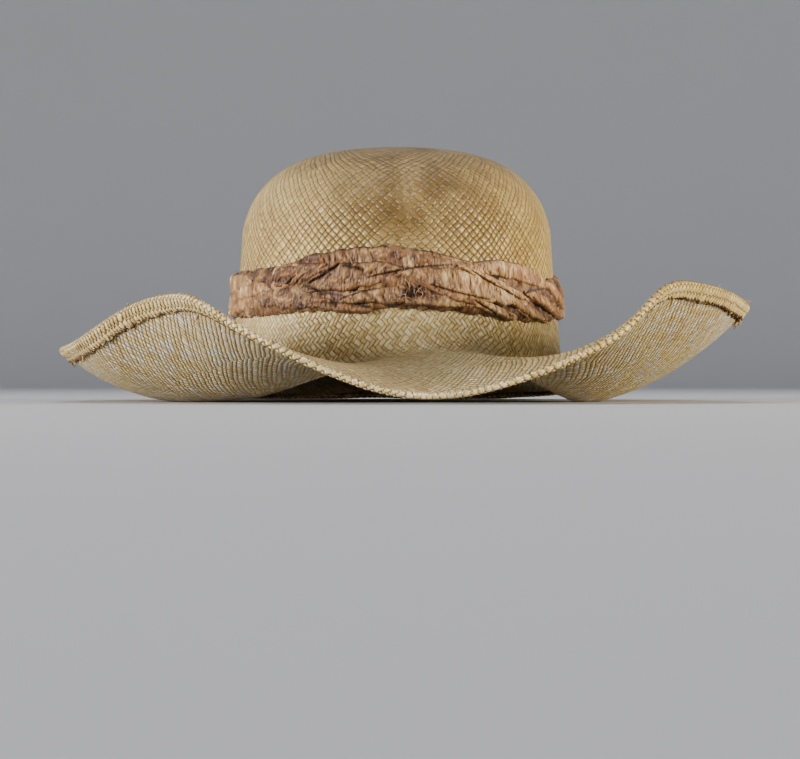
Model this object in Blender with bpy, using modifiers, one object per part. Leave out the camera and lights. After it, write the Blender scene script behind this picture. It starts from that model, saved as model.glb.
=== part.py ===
"""A plaited straw fishing hat with a wide wavy brim and a crumpled silk band, in metres, standing on z = 0.

The front of the hat is at -Y and its right side, as seen from the front, at +X. The straw body is one
woven piece: a domed crown, a wall, a rounded break and a brim whose edge is folded back onto the underside
as a hem. Every upright section through it is one row of BRIM_SECTIONS, and the sections between the rows
are interpolated.
"""

import math
from collections import namedtuple

import bpy
import numpy as np
from mathutils import Vector

HAT_NAME = "fishing_hat"

# The crown is an ellipse in plan, longer from front to back, under a flattened dome.
CROWN_HALF_WIDTH = 0.0860
CROWN_HALF_LENGTH = 0.1025
CROWN_TOP = 0.1370
SHOULDER_HEIGHT = 0.0650
DOME_SQUARENESS = 2.9
WALL_SPREAD = 0.10

# Each row is one upright section of the brim. The azimuth is in degrees, 0 on the right and 270 in front.
# The break is the lowest line of the turn between wall and brim, and the slopes are degrees above level
# at the brim's inner and outer end.
BRIM_COLUMNS = ("azimuth", "break_height", "break_radius", "slope_in", "slope_out", "brim_length")
BRIM_SECTIONS = (
    (0.0, 0.0060, 0.014, 8.0, 48.0, 0.092),
    (22.5, 0.0080, 0.011, 2.0, 30.0, 0.092),
    (45.0, 0.0145, 0.009, -9.0, 5.0, 0.092),
    (67.5, 0.0216, 0.012, -14.0, -10.0, 0.096),
    (90.0, 0.0250, 0.014, -14.0, -13.0, 0.097),
    (112.5, 0.0216, 0.013, -13.0, -11.0, 0.096),
    (135.0, 0.0150, 0.010, -8.0, 4.0, 0.093),
    (157.5, 0.0060, 0.011, 0.0, 31.0, 0.087),
    (180.0, 0.0012, 0.016, -5.0, 45.0, 0.084),
    (202.5, 0.0010, 0.013, -5.0, 47.0, 0.089),
    (225.0, 0.0050, 0.009, 3.0, 58.0, 0.095),
    (247.5, 0.0160, 0.008, 6.0, 13.0, 0.100),
    (270.0, 0.0240, 0.010, -12.0, -13.0, 0.094),
    (292.5, 0.0240, 0.012, -5.0, 8.0, 0.100),
    (315.0, 0.0080, 0.013, 10.0, 48.0, 0.103),
    (337.5, 0.0000, 0.016, 14.0, 52.0, 0.098),
)

# A fold lifts or drops the brim's outer end over a narrow stretch of its edge.
BrimFold = namedtuple("BrimFold", ("azimuth", "half_width", "extra_slope"))
BRIM_FOLDS = (
    BrimFold(306.0, 9.0, 12.0),
    BrimFold(237.0, 9.0, 8.0),
)

STRAW_THICKNESS = 0.0016
HEM_THICKNESS = 0.0030
HEM_WIDTH = 0.0085
REST_FLAT = 0.0006

AROUND = 84
DOME_ROWS = 8
WALL_ROWS = 3
BREAK_ROWS = 4
BRIM_ROWS = 6

# The band lies on the wall. Its section is three folds of cloth, one above another, that rise, sink and
# change their depth on the way round.
BAND_GAP = 0.0003
BAND_AROUND = 96
BAND_CORE = 0.0012
BAND_LOWER_EDGE = 0.0460
BAND_UPPER_EDGE = 0.0760
BAND_EDGE_WAVE = 0.0022
BandFold = namedtuple("BandFold", ("height_share", "depth", "depth_wave", "waves", "turn"))
BAND_FOLDS = (
    BandFold(0.18, 0.0034, 0.0012, 5, 40.0),
    BandFold(0.50, 0.0042, 0.0016, 4, 150.0),
    BandFold(0.82, 0.0026, 0.0010, 6, 260.0),
)
FOLD_HALF_HEIGHT = 0.15
FOLD_WANDER = 0.05
BAND_OUTER_POINTS = 11
BAND_INNER_POINTS = 4

STRAW_COLOUR = (0.42, 0.31, 0.16)
SILK_COLOUR = (0.36, 0.22, 0.11)


def clear_scene():
    for obj in list(bpy.data.objects):
        bpy.data.objects.remove(obj, do_unlink=True)


def plain_material(name, colour, roughness):
    material = bpy.data.materials.new(name)
    material.use_nodes = True
    shader = material.node_tree.nodes["Principled BSDF"]
    shader.inputs["Base Color"].default_value = (*colour, 1.0)
    shader.inputs["Roughness"].default_value = roughness
    shader.inputs["Metallic"].default_value = 0.0
    return material


def section_value(column, azimuth):
    """Reads a column of BRIM_SECTIONS at an azimuth in degrees, on a smooth closed curve through the rows."""
    rows = [section[BRIM_COLUMNS.index(column)] for section in BRIM_SECTIONS]
    count = len(rows)
    place = azimuth % 360.0 / 360.0 * count
    start = int(place) % count
    t = place - int(place)
    before, here, after, beyond = (rows[(start + k) % count] for k in (-1, 0, 1, 2))
    return 0.5 * (
        2 * here
        + (after - before) * t
        + (2 * before - 5 * here + 4 * after - beyond) * t**2
        + (3 * here - before - 3 * after + beyond) * t**3
    )


def fold_slope(azimuth):
    """The degrees that the folds add to the brim's outer slope."""
    extra = 0.0
    for fold in BRIM_FOLDS:
        apart = (azimuth - fold.azimuth + 180.0) % 360.0 - 180.0
        extra += fold.extra_slope * math.exp(-((apart / fold.half_width) ** 2))
    return extra


def crown_point(azimuth, height, outward=0.0):
    """A point of the crown's wall or dome at one height, moved outward along the plan's normal."""
    turn = math.radians(azimuth)
    plan = np.array((CROWN_HALF_WIDTH * math.cos(turn), CROWN_HALF_LENGTH * math.sin(turn)))
    normal = np.array((math.cos(turn) / CROWN_HALF_WIDTH, math.sin(turn) / CROWN_HALF_LENGTH))
    normal /= np.linalg.norm(normal)
    if height > SHOULDER_HEIGHT:
        rise = min((height - SHOULDER_HEIGHT) / (CROWN_TOP - SHOULDER_HEIGHT), 1.0)
        plan = plan * (1.0 - rise**DOME_SQUARENESS) ** (1.0 / DOME_SQUARENESS)
    else:
        plan = plan + normal * WALL_SPREAD * (SHOULDER_HEIGHT - height)
    return (*(plan + normal * outward), height)


def hat_section(azimuth):
    """The points of one section, from beside the dome's top down the wall and out to the brim's edge."""
    break_height = section_value("break_height", azimuth)
    radius = section_value("break_radius", azimuth)
    slope_in = math.radians(section_value("slope_in", azimuth))
    slope_out = math.radians(section_value("slope_out", azimuth) + fold_slope(azimuth))
    length = section_value("brim_length", azimuth)

    points = []
    for row in range(1, DOME_ROWS + 1):
        angle = math.pi / 2 * row / DOME_ROWS
        rise = math.cos(angle) ** (2 / DOME_SQUARENESS) if row < DOME_ROWS else 0.0
        points.append(crown_point(azimuth, SHOULDER_HEIGHT + (CROWN_TOP - SHOULDER_HEIGHT) * rise))
    wall_foot = break_height + radius
    for row in range(1, WALL_ROWS + 1):
        height = SHOULDER_HEIGHT + (wall_foot - SHOULDER_HEIGHT) * row / WALL_ROWS
        points.append(crown_point(azimuth, height))

    for row in range(1, BREAK_ROWS + 1):
        turn = -math.pi / 2 + (math.pi / 2 + slope_in) * row / BREAK_ROWS
        outward = radius * (1 + math.sin(turn))
        x, y, _ = crown_point(azimuth, wall_foot, outward)
        points.append((x, y, wall_foot - radius * math.cos(turn)))

    outward = radius * (1 + math.sin(slope_in))
    height = wall_foot - radius * math.cos(slope_in)
    flat_length = length - HEM_WIDTH
    steps = [flat_length / (BRIM_ROWS - 1)] * (BRIM_ROWS - 1) + [HEM_WIDTH * 0.5] * 2
    done = 0.0
    for step in steps:
        slope = slope_in + (slope_out - slope_in) * (done + step / 2) / length
        outward += step * math.cos(slope)
        height += step * math.sin(slope)
        done += step
        x, y, _ = crown_point(azimuth, wall_foot, outward)
        points.append((x, y, height))
    return points


def straw_sheet():
    """The straw's upper surface as an open loft, with a vertex group that makes the hem thicker."""
    sections = [hat_section(360.0 * k / AROUND) for k in range(AROUND)]
    rows = len(sections[0])
    vertices = [(0.0, 0.0, CROWN_TOP)] + [point for section in sections for point in section]

    def index(k, row):
        return 1 + (k % AROUND) * rows + row

    faces = [(0, index(k, 0), index(k + 1, 0)) for k in range(AROUND)]
    for k in range(AROUND):
        for row in range(rows - 1):
            faces.append((index(k, row), index(k, row + 1), index(k + 1, row + 1), index(k + 1, row)))
    mesh = bpy.data.meshes.new("straw_body")
    mesh.from_pydata(vertices, [], faces)
    obj = bpy.data.objects.new("straw_body", mesh)
    group = obj.vertex_groups.new(name="thickness")
    hem_rows = (rows - 2, rows - 1)
    thin = [index(k, row) for k in range(AROUND) for row in range(rows) if row not in hem_rows]
    group.add([0, *thin], STRAW_THICKNESS / HEM_THICKNESS, "REPLACE")
    group.add([index(k, row) for k in range(AROUND) for row in hem_rows], 1.0, "REPLACE")
    return obj


def make_straw_body(collection):
    """Makes the straw body on z = 0 and returns the shift that brought it there."""
    obj = straw_sheet()
    collection.objects.link(obj)
    obj.data.materials.append(plain_material("straw", STRAW_COLOUR, 0.6))
    solidify = obj.modifiers.new("Solidify", "SOLIDIFY")
    solidify.thickness = HEM_THICKNESS
    solidify.offset = -1.0
    solidify.vertex_group = "thickness"

    # The solid is centred over the origin and lowered until its lowest places are small flats on z = 0.
    depsgraph = bpy.context.evaluated_depsgraph_get()
    mesh = bpy.data.meshes.new_from_object(obj.evaluated_get(depsgraph))
    places = np.array([vertex.co for vertex in mesh.vertices])
    low, high = places.min(axis=0), places.max(axis=0)
    shift = Vector((-(low[0] + high[0]) / 2, -(low[1] + high[1]) / 2, -low[2] - REST_FLAT))
    for vertex in mesh.vertices:
        vertex.co += shift
        vertex.co.z = max(vertex.co.z, 0.0)
    obj.modifiers.remove(solidify)
    obj.data = mesh
    mesh.shade_smooth()
    return shift


def band_edges(azimuth):
    """The heights of the band's lower and upper edge."""
    turn = math.radians(azimuth)
    lower = BAND_LOWER_EDGE + BAND_EDGE_WAVE * math.sin(3 * turn + 0.6)
    upper = BAND_UPPER_EDGE + BAND_EDGE_WAVE * math.sin(2 * turn - 1.1)
    return lower, upper


def band_depth(azimuth, share):
    """How far the cloth stands off its inner face, with share 0 at the lower edge and 1 at the upper."""
    depth = BAND_CORE
    for fold in BAND_FOLDS:
        swing = math.sin(math.radians(fold.waves * azimuth + fold.turn))
        centre = fold.height_share + FOLD_WANDER * math.sin(math.radians(2 * azimuth + fold.turn))
        nearness = math.exp(-(((share - centre) / FOLD_HALF_HEIGHT) ** 2))
        depth += (fold.depth + fold.depth_wave * swing) * nearness
    return depth


def band_section(azimuth):
    lower, upper = band_edges(azimuth)
    points = []
    for k in range(BAND_OUTER_POINTS):
        share = k / (BAND_OUTER_POINTS - 1)
        height = lower + (upper - lower) * share
        points.append(crown_point(azimuth, height, BAND_GAP + band_depth(azimuth, share)))
    for k in range(BAND_INNER_POINTS):
        share = 1.0 - k / (BAND_INNER_POINTS - 1)
        height = lower + (upper - lower) * share
        points.append(crown_point(azimuth, height, BAND_GAP))
    return points


def make_silk_band(collection, shift):
    sections = [band_section(360.0 * k / BAND_AROUND) for k in range(BAND_AROUND)]
    ring = len(sections[0])
    vertices = [Vector(point) + shift for section in sections for point in section]
    faces = []
    for k in range(BAND_AROUND):
        here, after = k * ring, (k + 1) % BAND_AROUND * ring
        for i in range(ring):
            j = (i + 1) % ring
            faces.append((here + i, after + i, after + j, here + j))
    mesh = bpy.data.meshes.new("silk_band")
    mesh.from_pydata(vertices, [], faces)
    mesh.shade_smooth()
    mesh.materials.append(plain_material("silk", SILK_COLOUR, 0.5))
    obj = bpy.data.objects.new("silk_band", mesh)
    collection.objects.link(obj)


def main():
    clear_scene()
    collection = bpy.data.collections.new(HAT_NAME)
    bpy.context.scene.collection.children.link(collection)
    shift = make_straw_body(collection)
    make_silk_band(collection, shift)


main()
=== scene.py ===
"""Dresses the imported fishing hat: plaited straw with a folded hem, a crumpled silk band and a plain studio.

Lengths are in metres. The front of the hat is at -Y and its right side, as seen from the front, at +X.
"""

import functools

import bpy
import numpy as np
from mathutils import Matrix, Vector


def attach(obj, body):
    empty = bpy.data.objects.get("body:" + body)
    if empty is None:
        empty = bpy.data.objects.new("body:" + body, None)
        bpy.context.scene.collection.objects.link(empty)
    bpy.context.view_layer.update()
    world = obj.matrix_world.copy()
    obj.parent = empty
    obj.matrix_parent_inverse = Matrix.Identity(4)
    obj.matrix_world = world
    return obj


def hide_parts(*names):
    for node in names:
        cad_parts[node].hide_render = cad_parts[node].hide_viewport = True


bl_info = {
    "name": "Straw Fishing Hat",
    "version": (1, 0, 0),
    "blender": (4, 5, 0),
    "location": "3D View > Sidebar > Straw Hat",
    "description": "Plaited straw, hem, silk band and studio for the packed fishing hat",
    "category": "Add Mesh",
}

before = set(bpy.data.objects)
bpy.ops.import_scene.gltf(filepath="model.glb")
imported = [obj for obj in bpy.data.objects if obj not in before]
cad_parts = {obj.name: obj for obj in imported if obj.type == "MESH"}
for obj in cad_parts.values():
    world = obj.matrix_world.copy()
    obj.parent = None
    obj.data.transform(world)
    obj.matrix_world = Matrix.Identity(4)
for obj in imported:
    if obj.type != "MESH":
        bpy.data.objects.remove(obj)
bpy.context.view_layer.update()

# Azimuths are in degrees, 0 on the hat's right side.
FRONT = 270.0
# The noises repeat after so many places, and the studio's wall has so many sides.
NOISE_PLACES = 256
COVE_SIDES = 72

# The form of the straw body, as the CAD has it.
CROWN_HALF_WIDTH = 0.0860
CROWN_HALF_LENGTH = 0.1025
CROWN_TOP = 0.1370
SHOULDER_HEIGHT = 0.0650
DOME_SQUARENESS = 2.9
WALL_SPREAD = 0.10
# Each row is an upright section of the brim, 22.5 degrees after the one before, from the hat's right side on.
BRIM_COLUMNS = ("break_height", "break_radius", "slope_in", "slope_out", "brim_length")
BRIM_SECTIONS = np.array((
    (0.0060, 0.014, 8.0, 48.0, 0.092),
    (0.0080, 0.011, 2.0, 30.0, 0.092),
    (0.0145, 0.009, -9.0, 5.0, 0.092),
    (0.0216, 0.012, -14.0, -10.0, 0.096),
    (0.0250, 0.014, -14.0, -13.0, 0.097),
    (0.0216, 0.013, -13.0, -11.0, 0.096),
    (0.0150, 0.010, -8.0, 4.0, 0.093),
    (0.0060, 0.011, 0.0, 31.0, 0.087),
    (0.0012, 0.016, -5.0, 45.0, 0.084),
    (0.0010, 0.013, -5.0, 47.0, 0.089),
    (0.0050, 0.009, 3.0, 58.0, 0.095),
    (0.0160, 0.008, 6.0, 13.0, 0.100),
    (0.0240, 0.010, -12.0, -13.0, 0.094),
    (0.0240, 0.012, -5.0, 8.0, 0.100),
    (0.0080, 0.013, 10.0, 48.0, 0.103),
    (0.0000, 0.016, 14.0, 52.0, 0.098),
))
# Each narrow fold has its azimuth, half its width and the slope that it adds, all in degrees.
BRIM_FOLDS = ((306.0, 9.0, 12.0), (237.0, 9.0, 8.0))
STRAW_THICKNESS = 0.0016
HEM_THICKNESS = 0.0030
HEM_WIDTH = 0.0085
BAND_GAP = 0.0003

# The straw stays this far above the floor, and the silk's loose threads have this radius.
LOWEST = 0.0001
SILK_THREAD_RADIUS = 0.00016

# The crown and the brim are two shells that meet inside the silk band, out of sight.
JOINT_HEIGHT = 0.0600
AROUND = 600
DOME_ROWS = 52
LIP_ROWS = 4
WALL_ROWS = 14
BREAK_ROWS = 10
BRIM_ROWS = 46
AZIMUTH = np.arange(AROUND) * 360.0 / AROUND


def cad_shift():
    """The way from the form's own origin to the frame: the dome's top is over the origin before it."""
    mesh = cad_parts["straw_body"].data
    places = np.empty(len(mesh.vertices) * 3)
    mesh.vertices.foreach_get("co", places)
    matrix = np.array(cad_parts["straw_body"].matrix_world)
    places = places.reshape(-1, 3) @ matrix[:3, :3].T + matrix[:3, 3]
    top = places[places[:, 2].argmax()]
    return top - np.array((0.0, 0.0, CROWN_TOP))


SHIFT = cad_shift()


def lattice(x, y, wrap):
    """The whole places round each point: their numbers to its left and right, below it and above it, and how
    far it is from the left and the lower one."""
    x, y = np.broadcast_arrays(np.asarray(x, float), np.asarray(y, float))
    left, low = np.floor(x).astype(int), np.floor(y).astype(int)
    places = left % wrap, (left + 1) % wrap, low % NOISE_PLACES, (low + 1) % NOISE_PLACES
    return *places, x - left, y - low


def value_noise(x, y, seed, wrap=NOISE_PLACES):
    """Smooth noise from -1 to 1. Seeded random numbers stand on whole places and a cubic step joins them."""
    table = np.random.default_rng(seed).uniform(-1.0, 1.0, (NOISE_PLACES, NOISE_PLACES))
    left, right, low, high, part_x, part_y = lattice(x, y, wrap)
    part_x = part_x * part_x * (3 - 2 * part_x)
    part_y = part_y * part_y * (3 - 2 * part_y)
    lower = table[left, low] * (1 - part_x) + table[right, low] * part_x
    upper = table[left, high] * (1 - part_x) + table[right, high] * part_x
    return lower * (1 - part_y) + upper * part_y


def ring_noise(azimuth, places, seed):
    """Smooth noise round the hat, whose random numbers stand at so many places of the way."""
    return value_noise(azimuth / 360 * places, 0.0, seed, min(places, NOISE_PLACES))


def facets(x, y, seed, wrap=NOISE_PLACES):
    """Crushed cloth, -1 to 1: seeded random heights stand on whole places, each square between them is split
    into two flat triangles by a diagonal chosen at random, and the noise is linear on each triangle."""
    rng = np.random.default_rng(seed)
    table = rng.uniform(-1.0, 1.0, (NOISE_PLACES, NOISE_PLACES))
    other_way = rng.random((NOISE_PLACES, NOISE_PLACES)) < 0.5
    left, right, low, high, part_x, part_y = lattice(x, y, wrap)
    flip = other_way[left, low]
    left, right = np.where(flip, right, left), np.where(flip, left, right)
    here, across = table[left, low], table[right, low]
    above, beyond = table[left, high], table[right, high]
    part_x = np.where(flip, 1 - part_x, part_x)
    lower = here + (across - here) * part_x + (beyond - across) * part_y
    upper = here + (above - here) * part_y + (beyond - above) * part_x
    return np.where(part_x > part_y, lower, upper)


def step(low, high, value):
    """0 below low, 1 above high, and a smooth cubic between them."""
    share = np.clip((value - low) / (high - low), 0.0, 1.0)
    return share * share * (3 - 2 * share)


def bell(value, centre, width):
    """A bell curve: e to the power of minus the square of the distance from its centre over its width."""
    return np.exp(-(((value - centre) / width) ** 2))


def degrees_from(azimuth, centre=FRONT):
    """Degrees from a place of the ring, the hat's front if none is given, -180 to 180 and positive to the
    right of the front."""
    return np.mod(azimuth - centre + 180.0, 360.0) - 180.0


def section_value(column, azimuth):
    """Reads a column of BRIM_SECTIONS at azimuths in degrees, on a smooth closed Catmull-Rom curve."""
    rows = BRIM_SECTIONS[:, BRIM_COLUMNS.index(column)]
    place = np.mod(azimuth, 360.0) / 360.0 * len(rows)
    start = np.floor(place).astype(int)
    t = place - start
    before, here, after, beyond = (rows[(start + k) % len(rows)] for k in (-1, 0, 1, 2))
    return 0.5 * (
        2 * here
        + (after - before) * t
        + (2 * before - 5 * here + 4 * after - beyond) * t**2
        + (3 * here - before - 3 * after + beyond) * t**3
    )


def fold_slope(azimuth):
    """The degrees that the brim's narrow folds add to its outer slope: a bell curve round each fold."""
    extra = np.zeros_like(azimuth)
    for centre, half_width, slope in BRIM_FOLDS:
        extra += slope * bell(degrees_from(azimuth, centre), 0.0, half_width)
    return extra


def crown_point(azimuth, height, outward=0.0):
    """Points of the crown: an ellipse at each height, drawn in above the shoulder as a squared dome,
    spread a little below it, and moved outward along the ellipse's normal."""
    turn = np.radians(azimuth)
    across, along = np.cos(turn), np.sin(turn)
    normal_x, normal_y = across / CROWN_HALF_WIDTH, along / CROWN_HALF_LENGTH
    size = np.hypot(normal_x, normal_y)
    rise = np.clip((height - SHOULDER_HEIGHT) / (CROWN_TOP - SHOULDER_HEIGHT), 0.0, 1.0)
    drawn_in = (1.0 - rise**DOME_SQUARENESS) ** (1.0 / DOME_SQUARENESS)
    push = WALL_SPREAD * np.maximum(SHOULDER_HEIGHT - height, 0.0) + outward
    x = CROWN_HALF_WIDTH * across * drawn_in + normal_x / size * push
    y = CROWN_HALF_LENGTH * along * drawn_in + normal_y / size * push
    x, y, z = np.broadcast_arrays(x, y, height)
    return np.stack((x, y, z), axis=-1) + SHIFT


def unit(vectors):
    """Vectors of length 1 along the given ones."""
    return vectors / np.maximum(np.linalg.norm(vectors, axis=-1, keepdims=True), 1e-12)


def grid_normals(points):
    """Unit normals of a closed grid [around, row], from the cross product of its two differences."""
    around = np.roll(points, -1, axis=0) - np.roll(points, 1, axis=0)
    return unit(np.cross(np.gradient(points, axis=1), around))


def running(steps):
    """The sum of the steps before each place, along the last axis."""
    return np.concatenate((np.zeros((*steps.shape[:-1], 1)), np.cumsum(steps, axis=-1)), axis=-1)


def path_length(points):
    """The distance along each section of a grid [around, row], from its first row."""
    return running(np.linalg.norm(np.diff(points, axis=1), axis=-1))


def dome_surface(azimuth):
    """The crown's upper surface from beside the top down to the joint. The dome's rows are even in radius."""
    share = np.arange(1, DOME_ROWS + 1) / DOME_ROWS
    angle = np.arcsin(share ** (DOME_SQUARENESS / 2))
    rise = np.cos(angle) ** (2 / DOME_SQUARENESS)
    dome = SHOULDER_HEIGHT + (CROWN_TOP - SHOULDER_HEIGHT) * rise
    lip = np.linspace(SHOULDER_HEIGHT, JOINT_HEIGHT, LIP_ROWS + 1)[1:]
    heights = np.concatenate((dome, lip))
    points = crown_point(azimuth[:, None], heights[None, :])
    # The dome's rows come from the radius itself, which is exact where the height hardly changes.
    turn = np.radians(azimuth)[:, None]
    points[:, :DOME_ROWS, 0] = CROWN_HALF_WIDTH * np.cos(turn) * share + SHIFT[0]
    points[:, :DOME_ROWS, 1] = CROWN_HALF_LENGTH * np.sin(turn) * share + SHIFT[1]
    return points


def brim_surface(azimuth, rows=(WALL_ROWS, BREAK_ROWS, BRIM_ROWS)):
    """The upper surface from the joint down the wall, round the break's arc and out along the brim, whose
    slope changes evenly from its inner to its outer value."""
    azimuth = azimuth[:, None]
    wall_rows, break_rows, brim_rows = rows
    radius = section_value("break_radius", azimuth)
    foot = section_value("break_height", azimuth) + radius
    slope_in = np.radians(section_value("slope_in", azimuth))
    slope_out = np.radians(section_value("slope_out", azimuth) + fold_slope(azimuth))
    length = section_value("brim_length", azimuth)

    wall_heights = JOINT_HEIGHT + (foot - JOINT_HEIGHT) * np.arange(wall_rows + 1) / wall_rows
    wall = crown_point(azimuth, wall_heights)

    turn = -np.pi / 2 + (np.pi / 2 + slope_in) * np.arange(1, break_rows + 1) / break_rows
    arc = crown_point(azimuth, foot, radius * (1 + np.sin(turn)))
    arc[..., 2] = foot - radius * np.cos(turn) + SHIFT[2]

    middle = (np.arange(brim_rows) + 0.5) / brim_rows
    slope = slope_in + (slope_out - slope_in) * middle
    outward = radius * (1 + np.sin(slope_in)) + np.cumsum(np.cos(slope), axis=1) * length / brim_rows
    upward = foot - radius * np.cos(slope_in) + np.cumsum(np.sin(slope), axis=1) * length / brim_rows
    brim = crown_point(azimuth, foot, outward)
    brim[..., 2] = upward + SHIFT[2]
    return np.concatenate((wall, arc, brim), axis=1)


def uneven(points, azimuth, strength):
    """Moves a surface along its normals by slow noise, up to strength: straw shaped by hand isn't true."""
    lengths = path_length(points)
    lumps = value_noise(azimuth[:, None] / 360.0 * 44, lengths / 0.026, 11, 44)
    waves = value_noise(azimuth[:, None] / 360.0 * 20, lengths / 0.060, 12, 20)
    outer = step(0.030, 0.120, lengths)
    return points + grid_normals(points) * (strength * outer * (0.55 * lumps + 0.45 * waves))[..., None]


def mesh_object(name, vertices, faces, material, uv=None, marks=None, sharp_rings=()):
    """Makes a smooth mesh object of one material, where given with a UV map named plait, a corner attribute
    named marks and rings of sharp edges."""
    mesh = bpy.data.meshes.new(name)
    mesh.from_pydata(vertices.reshape(-1, 3), [], faces)
    mesh.shade_smooth()
    mesh.materials.append(material)
    if uv is not None:
        mesh.uv_layers.new(name="plait").uv.foreach_set("vector", uv.astype(np.float32).ravel())
    if marks is not None:
        layer = mesh.attributes.new("marks", "FLOAT_COLOR", "CORNER")
        layer.data.foreach_set("color", marks.astype(np.float32).ravel())
    if len(sharp_rings):
        ends = np.empty(len(mesh.edges) * 2, dtype=np.int32)
        mesh.edges.foreach_get("vertices", ends)
        ends = ends.reshape(-1, 2)
        sharp = np.zeros(len(ends), dtype=bool)
        for ring in sharp_rings:
            member = np.zeros(len(mesh.vertices), dtype=bool)
            member[ring] = True
            sharp |= member[ends].all(axis=1)
        mesh.attributes.new("sharp_edge", "BOOLEAN", "EDGE").data.foreach_set("value", sharp)
    if mesh.validate():
        raise RuntimeError(f"{name}: the mesh has faulty faces")
    obj = bpy.data.objects.new(name, mesh)
    bpy.context.scene.collection.objects.link(obj)
    return obj


def grid_faces(columns, rows, ring=True, tube=False):
    """Quads of a grid [column, row]. Its columns close into a ring, and its rows do too where it is a tube.

    Returns the vertex numbers, and the column and row of every corner before they wrap."""
    column = np.arange(columns if ring else columns - 1)[:, None, None] + np.array((0, 0, 1, 1))
    row = np.arange(rows if tube else rows - 1)[None, :, None] + np.array((0, 1, 1, 0))
    column, row = np.broadcast_arrays(column, row)
    numbers = column % columns * rows + row % rows
    return numbers.reshape(-1, 4), column.reshape(-1, 4), row.reshape(-1, 4)


def from_back(column, around):
    """Corner columns of a ring's faces counted from the hat's back, where the weave starts and ends."""
    first = column[:, :1]
    return (first - around // 4) % around + (column - first)


def weave_waves(azimuth, distance, strength):
    """How far the woven rows wander, in cells: slow noise, stronger on the right of the brim's front."""
    right = bell(degrees_from(azimuth, 325.0), 0.0, 45.0)
    slow = value_noise(azimuth / 360 * 24, distance / 0.045, 21, 24)
    quick = value_noise(azimuth / 360 * 70, distance / 0.018, 22, 70)
    return strength * (0.5 * slow * (1 + 1.6 * right) + 0.22 * quick)


def straw_marks(places, plain, inside):
    """Corner marks: red 1 where the weave is plain, green how brown a stain is, blue how pale the straw is.
    Light stains lie on the crown's front and top and heavy ones inside the foot of the crown on both sides;
    the underside and the hem are pale, most of all in front, and the outer wall below the band is made paler
    as painted light."""
    x, y, z = places[..., 0], places[..., 1], places[..., 2]
    away = degrees_from(np.degrees(np.arctan2(y / CROWN_HALF_LENGTH, x / CROWN_HALF_WIDTH)))
    cloud = 0.75 + 0.25 * value_noise(x / 0.012 + 40, y / 0.012 + z / 0.010 + 40, 25)
    reach = np.hypot(x / CROWN_HALF_WIDTH, y / CROWN_HALF_LENGTH)
    sides = step(0.045, 0.070, np.abs(x)) * step(1.38, 1.05, reach) * step(0.085, 0.040, z)
    front = 0.95 * bell(away, 1.0, 40.0) * step(0.062, 0.082, z)
    top = 0.60 * step(0.108, 0.134, z)
    wall = 0.16 * step(0.060, 0.048, z) * step(0.020, 0.035, z)
    stain = np.where(inside, sides, np.minimum(np.maximum(front, top) + wall, 0.80 / cloud)) * cloud
    # Inside, the straw is pale, most of all in front; outside, the wall below the band gets the pale mark as
    # painted light.
    pale = np.where(inside, 0.80 + 0.20 * bell(away, 0.0, 26.0), 0.62 * step(0.060, 0.048, z))
    return np.stack(np.broadcast_arrays(plain, np.clip(stain, 0, 1), pale, 1.0), axis=-1)


def shell(surface, thickness, tube):
    """A closed wall of straw: a surface, then the same moved in by the thickness, from its last row back.

    Returns its points, its faces, the column and row of their corners, the row of the surface that each is
    on, and a slow wander of the rings, -1 to 1, for each face."""
    ring = np.concatenate((surface, (surface - grid_normals(surface) * thickness)[:, ::-1]), axis=1)
    total = ring.shape[1]
    faces, column, row = grid_faces(AROUND, total, tube=tube)
    row = row % total
    wander = ring_noise(AZIMUTH, 18, 5)[column[:, 0] % AROUND]
    return ring, faces, column, row, np.minimum(row, total - 1 - row), wander


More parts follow.
